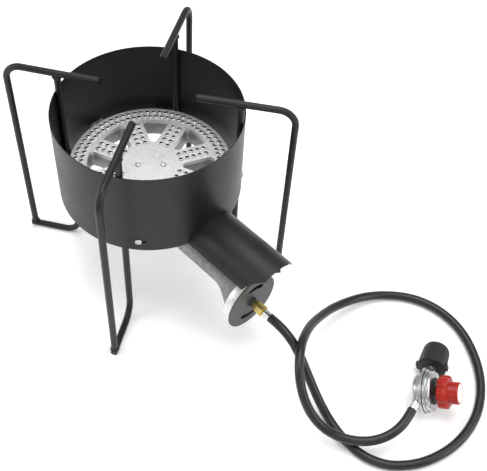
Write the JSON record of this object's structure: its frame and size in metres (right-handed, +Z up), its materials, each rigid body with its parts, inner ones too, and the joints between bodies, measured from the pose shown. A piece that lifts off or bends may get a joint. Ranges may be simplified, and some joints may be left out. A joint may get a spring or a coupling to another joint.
{
  "type": "propane burner stand",
  "caption": "Low four-legged propane burner stand with a round windscreen, cast star burner, hose guard, rubber gas hose and adjustable regulator.",
  "frame": {"origin": "windscreen's axis at floor level", "axes": "+Z up, right leg near +X, back leg near +Y; the gas inlet leaves towards +X -Y"},
  "size_m": [0.8374, 0.5628, 0.3861],
  "materials": {
    "black_powder_coat": "satin",
    "cast_aluminium": "rough cast",
    "dark_sheet": "satin",
    "plated_screws": "satin",
    "brass": "machined",
    "bright_sleeve": "bright",
    "black_rubber": "satin",
    "die_cast": "satin",
    "dark_plastic": "matte",
    "red_plastic": "gloss",
    "pale_plastic": "matte",
    "seal_rubber": "matte"
  },
  "bodies": {
    "stand": {"arm_rod_right": "black_powder_coat", "foot_rod_right": "black_powder_coat", "outer_weld_right": "black_powder_coat", "inner_weld_right": "black_powder_coat", "arm_rod_back": "black_powder_coat", "foot_rod_back": "black_powder_coat", "outer_weld_back": "black_powder_coat", "inner_weld_back": "black_powder_coat", "arm_rod_left": "black_powder_coat", "foot_rod_left": "black_powder_coat", "outer_weld_left": "black_powder_coat", "inner_weld_left": "black_powder_coat", "arm_rod_front": "black_powder_coat", "foot_rod_front": "black_powder_coat", "outer_weld_front": "black_powder_coat", "inner_weld_front": "black_powder_coat", "windscreen": "black_powder_coat", "hose_guard": "black_powder_coat", "windscreen_tabs": "black_powder_coat", "seam_rivets": "black_powder_coat", "windscreen_screws": "plated_screws", "windscreen_nuts": "plated_screws", "burner_cap_screws": "plated_screws", "bracket_bolts": "plated_screws", "bracket_nuts": "plated_screws", "burner_brackets": "plated_screws", "burner_base": "cast_aluminium", "burner_cap": "cast_aluminium", "shutter_nut": "dark_sheet", "orifice_fitting": "brass", "swivel_nut": "brass", "hose_tail_burner": "brass", "ferrule_burner": "bright_sleeve", "hose": "black_rubber", "ferrule_regulator": "bright_sleeve", "outlet_tail": "brass", "regulator_body": "die_cast", "valve_seat": "seal_rubber", "valve_lever": "plated_screws", "lever_pin": "plated_screws", "diaphragm": "seal_rubber", "diaphragm_plate": "plated_screws", "regulator_bonnet": "die_cast", "bonnet_cap": "dark_plastic", "range_spring": "plated_screws", "inlet_nipple": "brass", "nose_seal": "seal_rubber", "thermal_bushing": "dark_plastic"},
    "air_shutter": {"air_shutter": "dark_sheet"},
    "spring_button": {"spring_button": "plated_screws"},
    "knob": {"adjusting_knob": "red_plastic", "knob_disc": "pale_plastic", "adjusting_screw": "brass"},
    "coupling_nut": {"coupling_nut": "dark_plastic"}
  },
  "joints": [
    {"name": "air_shutter_turn", "type": "hinge", "parent": "stand", "child": "air_shutter", "pos_m": [0.20349, -0.1352, 0.0915], "axis": [0.8329, -0.5534, 0], "range_deg": [0, 90]},
    {"name": "screw_travel", "type": "slide", "parent": "stand", "child": "spring_button", "axis": [-0.8975, 0.1261, -0.4226], "range_m": [0, 0.0025], "deforming": ["range_spring"]},
    {"name": "knob_turn", "type": "hinge", "parent": "spring_button", "child": "knob", "pos_m": [0.511, -0.1965, 0.0374], "axis": [-0.8975, 0.1261, -0.4226], "range_deg": [0, 720]},
    {"name": "coupling_nut_turn", "type": "hinge", "parent": "stand", "child": "coupling_nut", "pos_m": [0.51264, -0.13665, 0.02575], "axis": [0.1919, 0.9744, -0.1167], "continuous": true}
  ],
  "couplings": [
    {"joint": "screw_travel", "follows": "knob_turn", "m_per_rad": 0.00019894}
  ]
}
